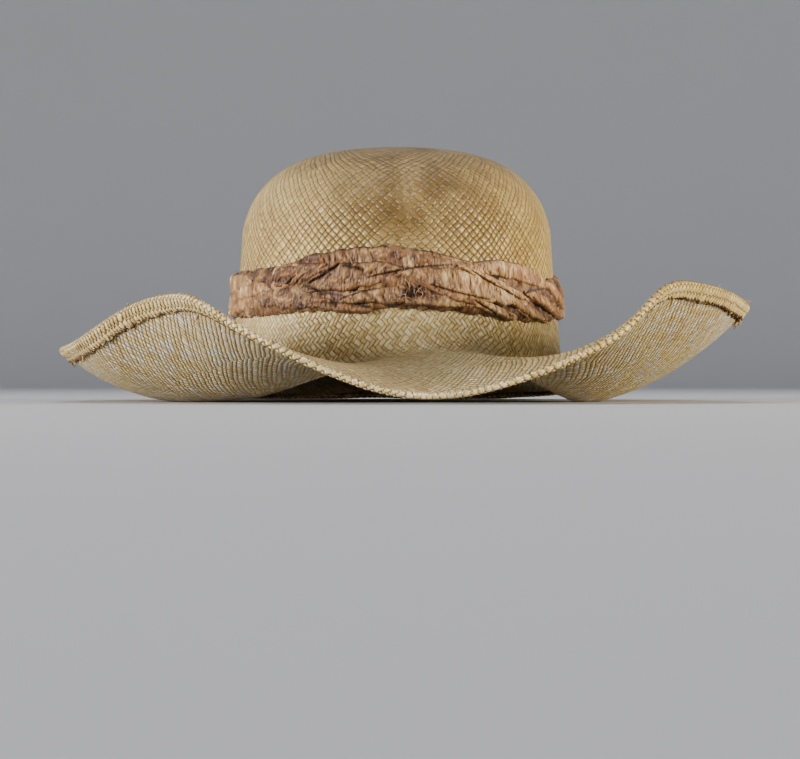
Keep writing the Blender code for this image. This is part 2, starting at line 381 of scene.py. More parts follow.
def build_crown(settings):
    """The crown as a closed shell: the dome's surface, and the same moved in by the straw's thickness."""
    outer = dome_surface(AZIMUTH)
    ring, faces, column, row, mirrored, wander = shell(outer, settings.thickness, False)
    rows, total = outer.shape[1], ring.shape[1]
    here = np.arange(AROUND) * total
    there = np.roll(here, -1)
    last = total - 1
    pole = np.full(AROUND, AROUND * total)
    fan_faces = np.concatenate((
        np.stack((pole, here, there), axis=1), np.stack((pole + 1, there + last, here + last), axis=1)))
    poles = np.array(((0.0, 0.0, CROWN_TOP), (0.0, 0.0, CROWN_TOP - settings.thickness))) + SHIFT
    vertices = np.concatenate((ring.reshape(-1, 3), poles))

    # Rings of cells: each zone of the dome has fewer columns, so that the cells keep their size, and the
    # middle of the top is woven flat.
    share = np.minimum((mirrored + 1) / DOME_ROWS, 1.0)
    middle = share.mean(axis=1)
    distance = path_length(outer)
    below = distance[:, -1:] - distance
    perimeter = np.pi * (CROWN_HALF_WIDTH + CROWN_HALF_LENGTH)
    zone_edges = np.array((0.42, 0.60, 0.80))
    zone = np.searchsorted(zone_edges, middle + 0.008 * wander)
    means = np.array((0.0, 0.51, 0.70, 0.92))
    cells = np.maximum(np.round(perimeter * means / settings.crown_cell), 1.0)
    columns = cells[zone][:, None]
    pitch = (perimeter * means / cells)[zone][:, None]
    pitch[zone == 0] = settings.crown_cell
    bend = weave_waves(column * 360.0 / AROUND, mirrored * 0.0016, 0.5)
    u = columns * from_back(column, AROUND) / AROUND + bend
    v = below[column % AROUND, mirrored] / pitch
    flat = zone == 0
    corner = vertices[faces]
    u[flat] = corner[flat][..., 0] / settings.crown_cell
    v[flat] = corner[flat][..., 1] / settings.crown_cell
    uv = np.stack((u, v), axis=-1).reshape(-1, 2)
    fan_uv = vertices[fan_faces][..., :2].reshape(-1, 2) / settings.crown_cell
    marks = straw_marks(corner, 1.0, row >= rows)
    fan_marks = straw_marks(vertices[fan_faces], 1.0, np.repeat((False, True), AROUND)[:, None])
    return mesh_object(
        "straw_crown",
        vertices,
        faces.tolist() + fan_faces.tolist(),
        straw_material(),
        np.concatenate((uv, fan_uv)),
        np.concatenate((marks.reshape(-1, 4), fan_marks.reshape(-1, 4))),
        [here + rows - 1, here + rows],
    )


def build_brim(settings):
    """Wall, break and brim as a closed ring: the upper surface, a rounded edge and the underside below it."""
    upper = uneven(brim_surface(AZIMUTH), AZIMUTH, settings.unevenness)
    ring, faces, column, row, mirrored, wander = shell(upper, settings.thickness, True)
    ring[..., 2] = np.maximum(ring[..., 2], LOWEST)
    rows, total = upper.shape[1], ring.shape[1]
    distance = path_length(upper)
    from_foot = distance - distance[:, WALL_ROWS][:, None]

    # Where a ring of the brim grows too long for its cells, the next zone has more columns.
    place = from_foot[column % AROUND, mirrored]
    middle = place.mean(axis=1) + 0.0022 * wander
    zone_edges = np.array((0.026, 0.060))
    zone = np.searchsorted(zone_edges, middle)
    ring_lengths = np.array((0.690, 0.890, 1.090))
    widths = settings.brim_cell * np.array((1.0, 0.92, 0.84))
    columns = np.round(ring_lengths / widths)[zone][:, None]
    heights = settings.brim_cell * np.array((1.0, 1.20, 1.50))
    starts = np.array((0.0, *zone_edges))
    first_rows = running(np.diff(starts) / heights[:2])
    bend = weave_waves(column * 360.0 / AROUND, place, 1.0)
    u = columns * from_back(column, AROUND) / AROUND + 0.4 * bend
    v = (first_rows[zone] - starts[zone] / heights[zone])[:, None] + place / heights[zone][:, None] + bend
    marks = straw_marks(ring.reshape(-1, 3)[faces], (middle > 0.004)[:, None], row >= rows)
    first = np.arange(AROUND) * total
    return mesh_object("straw_brim", ring, faces.tolist(), straw_material(), np.stack((u, v), axis=-1), marks,
                       [first, first + total - 1])


HEM_AROUND = 2400
# The hem's ovals: how far they lean, how far they reach into the row below, and the power of their round.
KERNEL_LEAN = 0.30
KERNEL_REACH = 0.20
KERNEL_ROUNDNESS = 2.4
# The length round the hat of the brim's edge, and of the seam along the hem's raw edge.
EDGE_LENGTH = 1.18
SEAM_LENGTH = 1.16


@functools.lru_cache(maxsize=1)
def brim_ring(unevenness):
    """The upper surface on a finer ring, its normals, and the distance of each row from the brim's edge."""
    azimuth = np.arange(HEM_AROUND) * 360.0 / HEM_AROUND
    upper = uneven(brim_surface(azimuth), azimuth, unevenness)
    length = path_length(upper)
    return upper, grid_normals(upper), length[:, -1:] - length


def brim_point(azimuth, inward, above, lowest=0.0):
    """Points given by azimuth, the distance inward from the brim's edge and the height over its upper
    surface, by straight interpolation in the ring, none of them lower than the lowest height. A negative
    distance goes on outward past the edge."""
    upper, normals, back = brim_ring(bpy.context.scene.hat_straw.unevenness)
    azimuth, inward, above = np.broadcast_arrays(azimuth, inward, above)
    place = np.mod(azimuth, 360.0) / 360.0 * HEM_AROUND
    first = np.floor(place).astype(int)
    part = (place - first)[..., None]
    found = []
    for column in (first % HEM_AROUND, (first + 1) % HEM_AROUND):
        row_place = np.clip(inward, 0.0, None) / back[column, -2]
        low = np.floor(row_place).astype(int)
        share = (row_place - low)[..., None]
        row = upper.shape[1] - 1 - low
        point = upper[column, row] * (1 - share) + upper[column, row - 1] * share
        normal = normals[column, row] * (1 - share) + normals[column, row - 1] * share
        out = unit(upper[column, -1] - upper[column, -2])
        found.append(point + out * np.clip(-inward, 0.0, None)[..., None] + normal * above[..., None])
    points = found[0] * (1 - part) + found[1] * part
    points[..., 2] = np.maximum(points[..., 2], lowest)
    return points


def kernel_relief(u, v):
    """The height of the hem's plait, 0 to 1. It is rows of ovals side by side, every other row is moved by
    half a place and reaches into the row below it, and the ovals lean to the left and the right in turn."""
    v = v - KERNEL_REACH * np.cos(2 * np.pi * u) * np.cos(np.pi * v)
    row = np.floor(v)
    odd = np.mod(row, 2)
    part = v - row
    place = u + 0.5 * odd + KERNEL_LEAN * (part - 0.5) * (1 - 2 * odd)
    across = np.abs(2 * (place - np.floor(place)) - 1)
    return np.sqrt(np.clip(1 - across**KERNEL_ROUNDNESS, 0, 1) * (1 - 0.9 * np.abs(2 * part - 1) ** 3.0))


def build_hem(settings):
    """The hem: a closed strip whose section goes over the edge, back along the underside and round its raw
    edge into the brim. Its braid stands out as real relief."""
    azimuth = np.arange(HEM_AROUND) * 360.0 / HEM_AROUND
    # The section's points, each the distance inward from the edge and the height over the upper surface.
    drop = HEM_THICKNESS
    radius = drop / 2 + 0.0002
    bend = np.linspace(np.pi / 2, -np.pi / 2, 9)
    top = np.array(((0.0034, -0.0003), (0.0031, 0.0001), (0.0024, 0.0003)))
    fold = np.stack((radius - radius * np.cos(bend), radius * np.sin(bend) - drop / 2), axis=1)
    under = np.stack((np.linspace(radius, HEM_WIDTH, 20)[1:], np.full(19, -drop - 0.0002)), axis=1)
    raw = np.array(((0.0090, -0.0029), (0.0092, -0.0022), (0.0088, -0.0014)))
    inside = np.array(((0.0065, -0.0010), (0.0045, -0.0009)))
    profile = np.concatenate((top, fold, under, raw, inside))
    lengths = running(np.linalg.norm(np.diff(profile, axis=0), axis=1))

    # The plait is flatter over the fold, and is gone where the strip is inside the brim.
    shown = np.ones(len(profile))
    shown[:len(top) + len(fold)] = 0.45
    shown[[0, -1, -2, -3]] = 0.0

    # The raw edge is ragged: noise moves it in and out by about a millimetre.
    ragged = 0.0007 * ring_noise(azimuth, 300, 31)
    ragged = ragged + 0.0006 * ring_noise(azimuth, 90, 32)
    end = step(0.0060, 0.0088, profile[:, 0]) * (profile[:, 1] < -0.0012)
    inward = profile[None, :, 0] + end[None, :] * ragged[:, None]
    above = profile[None, :, 1]

    raw_edge = lengths[len(top) + len(fold) + len(under) - 1]
    cells = np.round(EDGE_LENGTH / settings.hem_cell)
    wavy = 0.12 * ring_noise(azimuth, 60, 33)[:, None]
    crowd = 0.30 * ring_noise(azimuth, 150, 34)[:, None]
    u = cells * ((np.arange(HEM_AROUND) - HEM_AROUND // 4) % HEM_AROUND)[:, None] / HEM_AROUND + crowd
    v = (raw_edge - lengths[None, :]) / settings.hem_row + wavy
    relief = kernel_relief(u, v) * shown[None, :] * settings.hem_relief
    base = brim_point(azimuth[:, None], inward, above)
    out = grid_normals(base)
    points = base + out * (relief - 0.4 * settings.hem_relief * shown[None, :])[..., None]
    points[..., 2] = np.maximum(points[..., 2], LOWEST)
    rows = points.shape[1]
    faces, column, row = grid_faces(HEM_AROUND, rows, tube=True)
    around_length = lengths[-1] + np.linalg.norm(profile[0] - profile[-1])
    corner_length = np.append(lengths, around_length)[row]
    corner_u = cells * from_back(column, HEM_AROUND) / HEM_AROUND + crowd[column % HEM_AROUND, 0]
    corner_v = (raw_edge - corner_length) / settings.hem_row + wavy[column % HEM_AROUND, 0]
    marks = straw_marks(points.reshape(-1, 3)[faces], 1.0, True)
    # The rows of the raw edge get a heavy stain mark: dirt in the seam, and painted shade in the gap under
    # the raw edge.
    raw_row = (row % rows >= rows - 5) & (row % rows <= rows - 3)
    marks[..., 1] = np.where(raw_row, 0.85, 0.0)
    marks[..., 2] *= 0.55
    uv = np.stack((corner_u, corner_v), axis=-1)
    return mesh_object("straw_hem", points, faces.tolist(), hem_material(), uv, marks)


def tube_mesh(name, paths, radius, material, flatness=1.0, sides=6):
    """Round threads or flat straws in one mesh. Paths is [thread, point, 3]. Each ring of a thread stands
    square to its path, flatness is its thickness over its width, and one face closes each end."""
    threads, count, _ = paths.shape
    tangent = unit(np.gradient(paths, axis=1))
    guide = np.where(np.abs(tangent[..., 2:3]) < 0.9, (0.0, 0.0, 1.0), (1.0, 0.0, 0.0))
    side = unit(np.cross(tangent, guide))
    other = np.cross(tangent, side)
    angle = np.arange(sides) * 2 * np.pi / sides
    size = radius * np.minimum(1.0, 0.4 + 2.2 * np.sin(np.pi * np.arange(count) / (count - 1)))
    ring = side[:, :, None] * np.cos(angle)[:, None] + other[:, :, None] * np.sin(angle)[:, None] * flatness
    points = paths[:, :, None] + ring * np.broadcast_to(size, (threads, count))[..., None, None]
    base = (np.arange(threads) * count * sides)[:, None, None]
    a = np.arange(count - 1)[None, :, None] * sides
    b = np.arange(sides)[None, None, :]
    c = (b + 1) % sides
    quads = np.stack((base + a + b, base + a + c, base + a + sides + c, base + a + sides + b), axis=-1)
    first = base[:, 0] + np.arange(sides)[::-1]
    last = base[:, 0] + (count - 1) * sides + np.arange(sides)
    return mesh_object(name, points, quads.reshape(-1, 4).tolist() + first.tolist() + last.tolist(), material)


def build_stitches(settings):
    """Brown overcast stitches along the hem's raw edge. Each is a short arc that slants over the edge, with
    its ends sunk in the straw."""
    count = int(SEAM_LENGTH / settings.stitch_spacing)
    rng = np.random.default_rng(41)
    share = np.linspace(0.0, 1.0, 7)
    start = (np.arange(count) * 360.0 / count + rng.uniform(-0.15, 0.15, count))[:, None]
    azimuth = start + rng.uniform(0.5, 1.3, (count, 1)) * share
    reach = rng.uniform(0.0010, 0.0022, (count, 1))
    middle = HEM_WIDTH + rng.uniform(-0.0005, 0.0009, (count, 1))
    inward = middle + reach * (share - 0.5) * 2
    above = 0.0013 * step(HEM_WIDTH - 0.0002, HEM_WIDTH + 0.0012, inward) - HEM_THICKNESS
    above = above - 0.0009 * np.sin(np.pi * share) + 0.0002
    radius = settings.thread_radius
    # Brown sewing thread, spun linen: matt, with its twist seen as specks of about a millimetre.
    thread = strand_material("brown_thread", 900.0, 1.0, "#4a3524", "#7a5c40", {"Roughness": 0.8}, 0.0002)
    return tube_mesh("hem_stitches", brim_point(azimuth, inward, above, radius), radius, thread)


# How many straw ends there are, half their width, and the brim's mean radius.
ENDS = 210
END_RADIUS = 0.00055
EDGE_RADIUS = 0.185


def build_straw_ends():
    """Cut and broken ends of straw: flat strands that leave the hem's raw edge and the fold of the brim at a
    low angle. Each is a straight way in azimuth and distance from the edge, lifted by a quarter wave."""
    rng = np.random.default_rng(43)
    size = (ENDS, 1)
    share = np.linspace(0.0, 1.0, 6)
    start = rng.uniform(0.0, 360.0, size)
    length = rng.uniform(0.0015, 0.0050, size)
    turn = rng.uniform(-1.2, 1.2, size)
    at_fold = rng.random(size) < 0.22
    azimuth = start + np.degrees(length * np.sin(turn) / EDGE_RADIUS) * share
    way = np.where(at_fold, -0.7, 1.0) * length * np.cos(turn) * share
    inward = np.where(at_fold, 0.0006, HEM_WIDTH - 0.0005) + way
    rise = rng.uniform(0.2, 0.7, size) * length * np.sin(share * np.pi / 2)
    above = np.where(at_fold, -0.0012 - 0.3 * rise, -0.0024 - rise)
    # Broken straw: the same split strand, matt, and pale where it is torn every 2 mm or so.
    straw = strand_material("loose_straw", 420.0, 2.0, "#8a6f47", "#cdb68a", {"Roughness": 0.6})
    return tube_mesh("straw_ends", brim_point(azimuth, inward, above, END_RADIUS), END_RADIUS, straw, 0.3)


def cloth_object(name, grids, closed, thickness):
    """Silk made of one or more grids, each its points and corner marks: a UV map in metres of cloth, from the
    mean lengths of its columns and rows, and Solidify for the thickness. It also sums the grids' lengths end
    to end, the rectangles of their mean widths and lengths, and their area, but nothing uses these."""
    vertices, faces, uvs, marks = [], [], [], []
    first, width_sum, length_sum, area = 0, 0.0, 0.0, 0.0
    for points, tone in grids:
        edge_a, edge_b = np.diff(points, axis=0), np.diff(points, axis=1)
        along = np.linalg.norm(edge_a, axis=-1).mean(axis=1)
        if closed:
            along = np.append(along, np.linalg.norm(points[0] - points[-1], axis=-1).mean())
        along = running(along)
        across = running(np.linalg.norm(edge_b, axis=-1).mean(axis=0))
        numbers, column, row = grid_faces(*points.shape[:2], closed)
        faces.append(numbers + first)
        vertices.append(points.reshape(-1, 3))
        uvs.append(np.stack((along[column] + length_sum, across[row]), axis=-1).reshape(-1, 2))
        marks.append(tone[column % len(points), row].reshape(-1, 4))
        first += len(vertices[-1])
        width_sum += across[-1] * along[-1]
        length_sum += along[-1]
        area += np.linalg.norm(np.cross(edge_a[:, :-1], edge_b[:-1]), axis=-1).sum()
    obj = mesh_object(name, np.concatenate(vertices), np.concatenate(faces).tolist(), silk_material(),
                      np.concatenate(uvs), np.concatenate(marks))
    solidify = obj.modifiers.new("Solidify", "SOLIDIFY")
    solidify.thickness = thickness
    solidify.offset = -1.0
    # The grids taper, so their cloth is less than the rectangle of their mean width and whole length.
    return obj


def silk_marks(shade, red):
    """Corner marks of the silk: red how light the cloth is drawn, the painted light and shade of the crumple,
    green how reddish brown the cloth has turned.
    """
    return np.stack(np.broadcast_arrays(np.clip(shade, 0, 1), np.clip(red, 0, 1), 0.0, 1.0), axis=-1)


WRAP_AROUND = 800
WRAP_ROWS = 44
# Each roll of the wrap: its middle as a share of the band's height, how far it stands out, how much that
# swings, in how many waves, and the turn of the waves in degrees.
WRAP_FOLDS = (
    (0.20, 0.0016, 0.0008, 5, 40.0),
    (0.52, 0.0022, 0.0010, 4, 150.0),
    (0.82, 0.0014, 0.0006, 6, 260.0),
)
# The crown's mean radius at the band, over which the creases and the folds are laid out, in millimetres.
CREASE_RADIUS = 94.0
FOLD_RADIUS = 96.0

# The distance between two points of a fold's grid in front and behind, in millimetres, and the least distance
# of a fold from the wrap's own ring.
FRONT_SPACING = 0.48
BACK_SPACING = 0.66
LEAST_LIFT = 0.35
# The azimuths between which the folds behind start, and the heights that they take in turn, in millimetres.
BACK_START, BACK_END = 66.0, 288.0
BACK_HEIGHTS = (50.0, 57.0, 63.5)
# The silk's loose threads: how many there are in all and at the torn place, and the band's radius in metres.
THREADS = 90
TORN_THREADS = 26
BAND_RADIUS = 0.098


def band_edges(azimuth):
    """The heights of the silk's lower and upper edge: slow waves round the crown, a crest at the front of the
    upper edge, and a drop of both on the right."""
    turn = np.radians(azimuth)
    away = degrees_from(azimuth)
    drop = bell(away, 52.0, 24.0)
    lower = 0.0460 + 0.0014 * np.sin(3 * turn + 0.6) - 0.0030 * drop
    upper = 0.0700 + 0.0018 * np.sin(2 * turn - 1.1) + 0.0075 * bell(away, -9.0, 24.0) - 0.0050 * drop
    return lower, upper


def hole(away, height):
    """The torn place in front, 0 to 1: a bell curve over the degrees from the front and the height. The silk
    uses it for a dent and for a dark spot of painted shade.
    """
    return np.exp(-(((away - 1.0) / 2.6) ** 2 + ((height - 0.0556) / 0.0024) ** 2))


# Deep creases of the silk in front, cut in as grooves and darkened with painted shadow. Each row has its two
# ends, as degrees from the front and millimetres of height, how far its middle bows upwards, half its width
# and how dark its painted shadow is.
SLITS = (
    (-34.0, 61.0, -22.5, 71.5, -0.8, 0.85, 1.0),
    (-36.0, 60.0, -20.0, 53.6, -0.6, 0.42, 0.9),
    (-22.5, 69.6, -14.5, 67.0, 0.6, 0.80, 0.6),
    (-14.0, 63.2, 17.0, 70.2, 1.6, 0.45, 0.8),
    (-17.0, 50.2, -12.8, 48.0, 0.0, 0.75, 1.0),
    (-26.0, 49.8, -9.0, 57.8, 1.2, 0.40, 0.6),
    (6.0, 60.0, 27.0, 52.2, -0.8, 0.42, 0.7),
    (20.5, 52.4, 34.0, 42.2, -0.5, 0.50, 0.9),
    (35.0, 50.0, 44.5, 42.6, -0.3, 0.42, 0.7),
    (46.0, 54.8, 54.0, 46.5, 0.3, 0.42, 0.7),
    (19.0, 68.2, 40.0, 52.6, -0.7, 0.42, 0.9),
    (41.0, 55.6, 56.0, 59.4, 0.5, 0.40, 0.8),
    (56.0, 60.0, 64.0, 52.0, 0.8, 0.45, 0.7),
    (-52.0, 58.0, -45.0, 64.5, 0.2, 0.40, 0.7),
    (-47.0, 56.5, -39.0, 65.5, 0.2, 0.45, 0.7),
    (-42.0, 57.5, -35.0, 66.5, 0.2, 0.40, 0.6),
)


def slits(away, height):
    """How deep the creases cut at places given in degrees from the front and metres of height, 0 to 1: a bell
    curve over the distance from each bowed line, which fades at both ends. The same value darkens the silk as
    painted shadow in the creases."""
    deep = np.zeros(np.broadcast(away, height).shape)
    for start, low, end, high, bow, half, dark in SLITS:
        way = np.array((np.radians(end - start) * CREASE_RADIUS, high - low))
        length = np.hypot(*way)
        x = np.radians(away - start) * CREASE_RADIUS
        y = height * 1000 - low
        share = (x * way[0] + y * way[1]) / length**2
        side = (y * way[0] - x * way[1]) / length - bow * np.sin(np.pi * np.clip(share, 0, 1))
        fade = np.sqrt(np.clip(1 - (2 * np.clip(share, 0, 1) - 1) ** 4, 0, 1))
        deep = np.maximum(deep, dark * fade * bell(side, 0.0, half * (0.4 + 0.6 * fade)))
    return deep


def build_wrap(settings):
    """The silk that goes all the way round: three rolls of cloth above one another, each a bell curve in the
    band's height that wanders and swells on its way, with crushed facets on them and a frayed edge."""
    azimuth = (np.arange(WRAP_AROUND) * 360.0 / WRAP_AROUND)[:, None]
    share = np.linspace(0.0, 1.0, WRAP_ROWS)[None, :]
    lower, upper = band_edges(azimuth)
    frayed = 0.0008 * ring_noise(azimuth, 160, 51)
    height = lower + (upper - lower) * share + frayed * (step(0.8, 1.0, share) + step(0.2, 0.0, share))
    depth = 0.0006 + 0 * share
    for centre, size, swing, waves, turn in WRAP_FOLDS:
        middle = centre + 0.05 * np.sin(np.radians(2 * azimuth + turn))
        swell = size + swing * np.sin(np.radians(waves * azimuth + turn))
        depth = depth + swell * bell(share, middle, 0.15)
    x = azimuth / 360 * 120
    y = share * 3.4 + 0.5 * value_noise(x / 4, share * 5, 64, 30)
    large = facets(x + 0.8 * y, y, 61, 120)
    small = facets(2 * (x - 0.6 * y), 2 * y, 62, 240)
    depth = depth + settings.crumple * (0.5 * large + 0.3 * small)
    inside = step(0.0, 0.06, share) * step(1.0, 0.94, share)
    depth = np.maximum(depth * inside, 0.0) + settings.silk_thickness
    points = crown_point(azimuth, height, BAND_GAP + depth)
    away = degrees_from(azimuth)
    # The shade mark is painted light and shade: lighter on the facets' crests, darker in their hollows, and
    # painted shade in the creases and at the torn place.
    torn = np.maximum(hole(away, height), slits(away, height))
    shade = 0.30 + 0.20 * large + 0.20 * small - 0.9 * torn
    marks = silk_marks(shade, 0.3 * value_noise(x / 8, y / 3, 66, 15) + 0.1)
    return cloth_object("silk_wrap", [(points, marks)], True, settings.silk_thickness)


# Folds of the silk in front, as the photograph shows them. Each row is one leaf of cloth: where it starts and
# ends in degrees from the front and millimetres of height, half its width, how far it arches up, how far it
# lies off the crown, how full it is, the slant of its creases and how reddish it is.
FRONT_FOLDS = (
    (-54, 65.5, 29, 66.5, 5.5, 8.0, 1.6, 0.8, 0.2, 0.25),
    (-58, 62.0, -20, 67.0, 6.0, 1.0, 2.2, 1.8, -0.8, 0.40),
    (-60, 53.0, -26, 51.5, 6.0, 1.0, 1.9, 1.8, -0.5, 0.20),
    (-37, 58.5, -2, 66.5, 7.5, 1.5, 3.0, 2.2, -0.5, 0.10),
    (-23, 52.0, 18, 49.8, 5.0, 3.5, 3.2, 2.0, 0.3, 0.10),
    (-33, 50.5, -12, 46.8, 2.6, -0.5, 3.0, 1.6, 0.1, 0.45),
    (-3, 64.5, 44, 52.0, 7.8, 1.0, 3.4, 2.4, 0.15, 0.15),
    (15, 68.0, 63, 58.5, 4.8, 4.0, 2.6, 2.0, 0.2, 0.30),
    (16, 69.5, 43, 52.0, 1.9, 0.5, 5.0, 1.0, 0.9, 0.20),
    (3, 60.5, 27, 49.5, 3.2, -0.5, 4.4, 1.4, 0.2, 0.30),
    (19, 52.5, 38, 43.0, 2.8, -0.5, 3.6, 1.6, 0.5, 0.20),
    (31, 55.0, 52, 43.0, 3.0, 0.0, 3.9, 1.6, 0.5, 0.35),
    (43, 57.0, 66, 45.5, 3.2, 0.5, 3.4, 1.6, 0.5, 0.45),
    (56, 61.5, 76, 50.0, 4.2, 1.0, 2.8, 2.0, 0.6, 0.50),
)


def crushed(x, y, seed, slant):
    """Crushed silk at places in millimetres: large, small and fine facets, longer along the creases than
    across them. The creases cross the fold, lean to the left by the slant, and slow noise moves them."""
    push_x = x + 1.8 * value_noise(x / 7.0, y / 6.0, seed)
    push_y = y + 1.8 * value_noise(x / 7.0 + 50, y / 6.0, seed + 1)
    across = push_x * np.cos(slant) + push_y * np.sin(slant)
    along = push_y * np.cos(slant) - push_x * np.sin(slant)
    large = facets(across / 4.0, along / 9.0, seed + 2)
    small = facets(across / 1.9, along / 5.0, seed + 3)
    fine = facets(across / 1.0, along / 2.8, seed + 4)
    return large, small, fine


def silk_fold(fold, seed, spacing, settings):
    """One leaf of crumpled cloth. Across, it is a low arch whose edges are tucked under; along, it tapers to
    both ends; crushed facets lie on it, and the torn place and the creases cut into it. Its shade mark paints
    light on the facets' crests and shade in their hollows, on the tucked edges, in the creases and at the
    torn place."""
    start, start_height, end, end_height, half, arch, lift, puff, slant, red = fold
    length = np.hypot(np.radians(end - start) * FOLD_RADIUS, end_height - start_height)
    columns = max(int(length / spacing), 24)
    rows = max(int(2.6 * half / spacing), 14)
    s = np.linspace(0.0, 1.0, columns)[:, None]
    w = np.linspace(-1.0, 1.0, rows)[None, :]
    taper = np.maximum(np.sin(np.pi * s), 0.0) ** 0.5 * 0.94 + 0.06
    x, y = s * length, w * half
    edge = 1 + 0.18 * facets(x / 5.0 + seed, np.sign(w) * 3 + 5, seed)
    height = start_height + (end_height - start_height) * s + arch * np.sin(np.pi * s) + y * taper * edge
    azimuth = FRONT + start + (end - start) * s + 0 * w
    large, small, fine = crushed(x, y, seed, slant)
    arched = np.sqrt(np.clip(1 - np.abs(w) ** 2.6, 0, 1))
    tuck_and_shade = step(0.74, 1.0, np.abs(w) + 0 * s)
    away = azimuth - FRONT
    cut_and_shadow = np.maximum(hole(away, height / 1000), slits(away, height / 1000))
    brown = np.exp(-(((away - 6.0) / 9.0) ** 2 + ((height - 58.0) / 5.0) ** 2))
    off = lift + puff * arched * np.sqrt(taper) - 2.2 * tuck_and_shade - 2.2 * cut_and_shadow
    relief = settings.crumple * 1000 * (0.26 * large + 0.26 * small + 0.20 * fine)
    off = off + relief * (0.30 + 0.70 * arched)
    points = crown_point(azimuth, height / 1000, BAND_GAP + np.maximum(off, LEAST_LIFT) / 1000)
    # The shade mark: lighter right of the front, darker on the left and at the far right; painted light on
    # the facets' crests and painted shade in their hollows; painted shade, with some dirt, on the tucked
    # edges; painted shade in the creases and at the torn place; and darker in the brown stain round the torn
    # place.
    side = 0.24 * step(-8.0, 26.0, away) - 0.06 * step(55.0, 62.0, away) - 0.16 * step(-18.0, -34.0, away)
    facet_light_and_shade = 0.38 + 0.10 * large + 0.16 * small + 0.20 * fine
    shade = facet_light_and_shade - 0.55 * tuck_and_shade - 0.80 * cut_and_shadow - 0.20 * brown + side
    return points, silk_marks(shade, red + 0.25 * value_noise(x / 11.0, y / 9.0, seed + 9))


def build_silk(settings):
    """The wrap, the folds in front as the photograph has them, and like folds on the sides and the back."""
    rng = np.random.default_rng(71)
    front = [silk_fold(fold, 100 + 20 * k, FRONT_SPACING, settings) for k, fold in enumerate(FRONT_FOLDS)]
    behind = []
    start = BACK_START
    while start < BACK_END:
        width = rng.uniform(34.0, 52.0)
        high = len(behind) % len(BACK_HEIGHTS)
        height = BACK_HEIGHTS[high] + rng.uniform(-1.0, 1.0)
        lean = rng.uniform(-5.0, 5.0)
        fold = (start, height - lean, start + width, height + lean, rng.uniform(3.8, 6.0), rng.uniform(-1, 2),
                1.5 + 0.4 * high, 1.6, rng.uniform(-1.0, 1.0), rng.uniform(0.1, 0.5))
        behind.append(silk_fold(fold, 600 + 20 * len(behind), BACK_SPACING, settings))
        start += rng.uniform(11.0, 16.0)
    thickness = settings.silk_thickness
    return [
        build_wrap(settings),
        cloth_object("silk_folds_front", front, False, thickness),
        cloth_object("silk_folds_back", behind, False, thickness),
        build_threads(),
    ]


def build_threads():
    """Loose silk threads at the torn place in front and along the band's edges. Each is a short way over the
    crown in azimuth, height and distance off it, with a slow curl."""
    rng = np.random.default_rng(73)
    size = (THREADS, 1)
    share = np.linspace(0.0, 1.0, 9)
    torn = (np.arange(THREADS) < TORN_THREADS)[:, None]
    away = np.where(torn, rng.normal(2.0, 2.6, size), rng.uniform(-180.0, 180.0, size))
    lower, upper = band_edges(FRONT + away)
    edge = np.where(rng.random(size) < 0.5, lower, upper)
    height = np.where(torn, rng.normal(0.0570, 0.0022, size), edge)
    length = np.where(torn, rng.uniform(0.003, 0.009, size), rng.uniform(0.002, 0.006, size))
    turn = rng.uniform(-np.pi, np.pi, size) + rng.uniform(-1.2, 1.2, size) * share
    away = away + np.degrees(length * np.cos(turn) * share / BAND_RADIUS)
    height = height + length * np.sin(turn) * share
    lift = np.where(torn, 0.0052, 0.0022) + rng.uniform(0.0, 0.0012, size) * np.sin(2.5 * share)
    # Loose silk threads: thin, pale brown in lengths of about 3 mm, and a little shiny.
    finish = {"Roughness": 0.5, "Sheen Weight": 0.3}
    silk = strand_material("silk_thread", 300.0, 1.0, "#6e4a30", "#c39a72", finish)
    paths = crown_point(FRONT + away, height, lift)
    return tube_mesh("silk_threads", paths, SILK_THREAD_RADIUS, silk, sides=5)


def linear(code):
    """The linear colour of an sRGB hex value, with full alpha."""
    parts = np.array([int(code[k:k + 2], 16) for k in (1, 3, 5)]) / 255
    parts = np.where(parts <= 0.04045, parts / 12.92, ((parts + 0.055) / 1.055) ** 2.4)
    return (*parts.tolist(), 1.0)


def add(tree, kind, inputs=(), out=0, stops=(), **settings):
    """Adds a node with its settings, feeds its sockets by place or name, and returns one of its outputs. A
    dot parts a node's kind from its operation, and each stop of a ramp is a place and a hex colour."""
    kind, _, operation = kind.partition(".")
    made = tree.nodes.new("ShaderNode" + kind)
    if operation:
        made.operation = operation
    for name, value in settings.items():
        setattr(made, name, value)
    for _ in stops[2:]:
        made.color_ramp.elements.new(0.5)
    for k, (place, code) in enumerate(stops):
        made.color_ramp.elements[k].position = place
        made.color_ramp.elements[k].color = linear(code)
    for socket, value in inputs.items() if isinstance(inputs, dict) else enumerate(inputs):
        if isinstance(value, bpy.types.NodeSocket):
            tree.links.new(value, made.inputs[socket])
        elif value is not None:
            made.inputs[socket].default_value = value
    return made if out is None else made.outputs[out]


MARKS = {"attribute_name": "marks", "attribute_type": "GEOMETRY"}
BLEND = {"out": 2, "data_type": "RGBA"}
TINT = {**BLEND, "blend_type": "MULTIPLY"}


def new_material(name):
    """A material with an empty tree, and the function that adds a node to it."""
    material = bpy.data.materials.new(name)
    material.use_nodes = True
    material.node_tree.nodes.clear()
    return material, functools.partial(add, material.node_tree)


